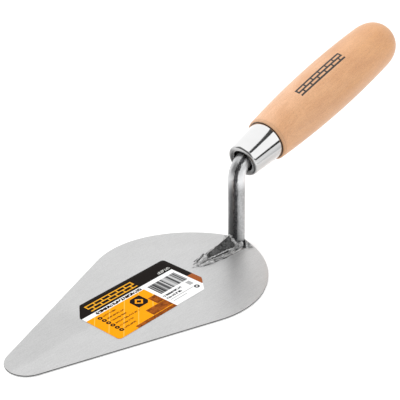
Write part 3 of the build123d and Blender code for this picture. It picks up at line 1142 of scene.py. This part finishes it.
def label_paper():
    """Generic printed sticker: a dark band, an orange field, bricks, bars and plain rules.

    Its places are millimetres on the blade: x from the neck's axis and y to the right.
    """
    s = Shader("label_paper")
    where = s.in_millimetres()
    x, y, z = s.axes(where)
    black = srgb(24, 19, 17)
    orange = (0.84, 0.31, 0.003)
    colour = s.mix(s.box_mask(x, y, *ORANGE_FIELD), grey(0.82), orange)
    colour = s.mix(orange_pattern(s, x, y), colour, srgb(244, 190, 96))
    colour = s.mix(brick_stack(s, x, y), colour, brick_brown(s, where))
    colour = s.mix(small_print(s, x, y), colour, srgb(36, 22, 10))
    colour = s.mix(bullets(s, x, y), colour, srgb(40, 28, 14))
    colour = s.mix(plaque(s, x, y), colour, black)
    colour = s.mix(bars(s, x, y), colour, srgb(34, 34, 36))
    colour = s.mix(panel_print(s, x, y), colour, srgb(70, 70, 72))
    band = s.larger(s.box_mask(x, y, *DARK_BAND), s.box_mask(x, y, *HEEL_BAND))
    colour = s.mix(band, colour, black)
    colour = s.mix(s.box_mask(x, y, *HEEL_CORNER), colour, srgb(150, 82, 40))
    colour = s.mix(brick_outlines(s, x, y, *BAND_BRICKS, 0.85), colour, srgb(225, 160, 40))
    colour = s.mix(band_marks(s, x, y), colour, srgb(190, 190, 186))
    wear = s.noise(where, 0.9, 3, 0.6)
    colour = s.scaled(colour, s.between(wear, 0.3, 0.7, 0.965, 1.0))
    return s.finish(
        Base_Color=colour,
        Roughness=s.between(wear, 0.3, 0.7, 0.36, 0.44),
        Specular_IOR_Level=0.02,
        Normal=s.bump(s.noise(where, 0.35, 2, 0.5), 0.05 * MM, 0.25),
    )


def orange_pattern(s, x, y):
    """Faint slanting lines over the orange field."""
    field = s.box_mask(x, y, *ORANGE_FIELD)
    share = s.maths("FRACT", s.maths("DIVIDE", s.subtract(x, y), 11.0))
    lines = s.between(s.distance(share, 0.5), 0.034, 0.018)
    return s.multiply(s.multiply(field, lines), 0.75)


def brick_brown(s, where):
    """Fired clay with darker mottling."""
    mottle = s.noise(where, 0.55, 4, 0.65)
    return s.mix(s.between(mottle, 0.4, 0.64), srgb(158, 84, 24), srgb(100, 48, 14))


def brick_stack(s, x, y):
    """Plain bricks stepping up towards the white panel."""
    return s.any_of(s.box_mask(x, y, *box) for box in BRICK_STACK)


def strokes(s, x, y, size, share):
    """1 on a random share of small cells, as the strokes of small print."""
    return s.between(s.cells(x, y, *size), 1 - share, 1 - share + 0.01)


def stroke_row(s, x, y, box, size, share):
    """Strokes within a box."""
    return s.multiply(s.box_mask(x, y, *box), strokes(s, x, y, size, share))


def small_print(s, x, y):
    """Rows of short strokes, and a bold row above them."""
    lines = []
    for row, end in enumerate((-98.5, -95.5, -97.0, -90.5, -98.0, -99.5)):
        middle = 1.35 - 3.25 * row
        lines.append(s.box_mask(x, y, (-108, middle - 0.6), (end, middle + 0.6)))
    small = s.multiply(s.any_of(lines), strokes(s, x, y, (0.4, 0.6), 0.7))
    bold = stroke_row(s, x, y, BOLD_LINE, (0.55, 0.77), 0.82)
    return s.larger(s.multiply(small, 0.8), bold)


def bullets(s, x, y):
    """A small ring in front of each row of strokes."""
    return s.any_of(s.ring_mask(x, y, (-110.2, 1.3 - 3.27 * row), 1.4, 0.4) for row in range(6))


def plaque(s, x, y):
    """A dark plaque with two cut corners and a plain diamond on it."""
    low, high = PLAQUE
    across = s.subtract(x, (low[0] + high[0]) / 2)
    along = s.subtract(y, (low[1] + high[1]) / 2)
    cut = s.between(s.distance(across, along), 7.1, 7.0)
    away = s.add(s.maths("ABSOLUTE", across), s.maths("ABSOLUTE", along))
    diamond = s.between(s.distance(away, 2.4), 0.75, 0.65)
    shape = s.multiply(s.box_mask(x, y, low, high), cut)
    return s.multiply(shape, s.subtract(1.0, diamond))


def bars(s, x, y):
    """A block of upright bars of uneven darkness."""
    shade = s.between(s.cells(x, 0.0, 0.8, 1.0), 0.1, 0.9, 0.35, 1.0)
    return s.multiply(s.box_mask(x, y, *BAR_BLOCK), shade)


def panel_print(s, x, y):
    """Two rows of strokes, three faint rules and a ring on the white panel."""
    rows = s.any_of(stroke_row(s, x, y, box, (0.5, 0.8), 0.76) for box in PANEL_PRINT)
    rules = s.any_of(s.box_mask(x, y, *box) for box in PANEL_RULES)
    ring = s.ring_mask(x, y, (-52.2, -15.5), 1.7, 0.6)
    return s.any_of((rows, s.multiply(rules, 0.6), ring))


def band_marks(s, x, y):
    """Small pale strokes on the dark band, near its heel end."""
    return stroke_row(s, x, y, BAND_MARKS, (0.6, 0.7), 0.6)


# ------------------------ camera, floor and light

VIEW_AZIMUTH = radians(-47.67)
VIEW_ELEVATION = radians(26.95)
VIEW_ROLL = radians(-0.77)
VIEW_DISTANCE = 0.6698
VIEW_LENS = 101.3
VIEW_SHIFT_RIGHT = -0.02162
VIEW_SHIFT_UP = 0.02545


def add_camera():
    """A camera that looks down past the neck's foot, turned very slightly on its own axis."""
    level_right = Vector((cos(VIEW_AZIMUTH), sin(VIEW_AZIMUTH), 0))
    level_back = Vector((sin(VIEW_AZIMUTH), -cos(VIEW_AZIMUTH), 0))
    back = level_back * cos(VIEW_ELEVATION) + Vector((0, 0, sin(VIEW_ELEVATION)))
    level_up = back.cross(level_right)
    right = level_right * cos(VIEW_ROLL) + level_up * sin(VIEW_ROLL)
    up = back.cross(right)
    data = bpy.data.cameras.new("camera")
    data.lens = VIEW_LENS
    data.sensor_width = 36
    camera = bpy.data.objects.new("camera", data)
    bpy.context.scene.collection.objects.link(camera)
    foot = Vector((0, 0, PLATE_TOP * MM))
    place = foot + back * VIEW_DISTANCE + right * VIEW_SHIFT_RIGHT + up * VIEW_SHIFT_UP
    turn = Matrix((right, up, back)).transposed().to_4x4()
    camera.matrix_world = Matrix.Translation(place) @ turn
    bpy.context.scene.camera = camera


def glow_material(name, strength):
    """Plain white light of that strength."""
    material = bpy.data.materials.new(name)
    material.use_nodes = True
    tree = material.node_tree
    tree.nodes.clear()
    glow = tree.nodes.new("ShaderNodeEmission")
    glow.inputs["Color"].default_value = (1, 1, 1, 1)
    glow.inputs["Strength"].default_value = strength
    output = tree.nodes.new("ShaderNodeOutputMaterial")
    tree.links.new(glow.outputs[0], output.inputs["Surface"])
    return material


def add_card(name, azimuths, elevations, distance, strength):
    """A curved studio card round the object that only reflections see.

    Azimuths are measured from +X towards +Y, and both ranges are in degrees.
    """
    steps = 24
    points = []
    for tilt in elevations:
        height = max(CARD_CENTRE[2] + distance * tan(radians(tilt)), 0.0)
        points += [(x, y, height) for x, y in arc(CARD_CENTRE, distance, *azimuths, steps)]
    faces = [(i, i + 1, i + 2 + steps, i + 1 + steps) for i in range(steps)]
    mesh = bpy.data.meshes.new(name)
    mesh.from_pydata(points, [], faces)
    mesh.materials.append(glow_material(name, strength))
    card = bpy.data.objects.new(name, mesh)
    card.visible_camera = False
    card.visible_diffuse = False
    card.visible_shadow = False
    card.visible_transmission = False
    bpy.context.scene.collection.objects.link(card)


def add_floor():
    """Pale paper just under the blade, with a faint glow that keeps it near white."""
    bpy.ops.mesh.primitive_plane_add(size=12, location=(0, 0, -0.0002))
    floor = bpy.context.object
    floor.name = "floor"
    s = Shader("floor_paper")
    tone = s.between(s.noise(s.point, 300, 2), 0.3, 0.7, 0.985, 1.0)
    paper = s.scaled(grey(0.84), tone)
    glow = s.finish(Base_Color=paper, Roughness=0.9, Emission_Color=paper, Emission_Strength=0.18)
    floor.data.materials.append(glow)


def add_light(name, location, size, power):
    """A round lamp aimed at the trowel, which reflections don't see."""
    data = bpy.data.lights.new(name, "AREA")
    data.shape = "DISK"
    data.size = size
    data.energy = power
    light = bpy.data.objects.new(name, data)
    light.location = location
    aim = Vector((0, 0, 0.04)) - light.location
    light.rotation_euler = aim.to_track_quat("-Z", "Y").to_euler()
    light.visible_glossy = False
    bpy.context.scene.collection.objects.link(light)


def add_surroundings():
    """A white studio with a floor, a lamp, and the cards that steel and plating reflect."""
    scene = bpy.context.scene
    scene.view_settings.view_transform = "Standard"
    world = bpy.data.worlds.new("studio")
    world.use_nodes = True
    background = world.node_tree.nodes["Background"]
    background.inputs["Color"].default_value = (1, 1, 1, 1)
    background.inputs["Strength"].default_value = 1.12
    scene.world = world
    add_floor()
    add_light("key", location=(-0.25, 0.7, 1.2), size=1.3, power=8)
    for name, azimuths, elevations, distance, strength in (
        ("dark_room", (119, 240), (4, 52), 0.95, 0.2),
        ("dark_gap", (-112, -10), (49.5, 62.5), 0.8, 0.07),
        ("dark_line", (-110, -20), (1, 10), 0.125, 0.04),
        ("dark_skirt", (-110, -20), (-12, 9), 0.13, 0.8),
        ("skirt_fringe", (-110, -20), (-34, 12), 0.135, 0.95),
    ):
        add_card(name, azimuths, elevations, distance, strength)


# ------------------------ assembly

add_camera()
add_surroundings()

weld = weld_metal()
finish_piece(blade_mesh(), ground_steel(), "blade")
finish_piece(bar_mesh(), bar_steel(), "tang")
finish_piece(foot_mesh(), forged_steel(), "foot")
finish_piece(side_bead_mesh("weld_bead_left", -1), weld, "foot_weld_left")
finish_piece(side_bead_mesh("weld_bead_right", 1), weld, "foot_weld_right")
finish_piece(blob_bead("toe_lump", toe_blobs()), weld, "toe_weld")
finish_piece(blob_bead("neck_saddle", neck_blobs()), weld, "neck_weld")
heel = blob_bead("heel_fillet", heel_blobs(), heel_core(), 0.1)
finish_piece(heel, weld, "heel_weld")
finish_piece(ferrule_mesh(), ferrule_plating(), "ferrule")
finish_piece(handle_mesh(), handle_wood(), "handle")
finish_piece(label_mesh(), label_paper(), "label")
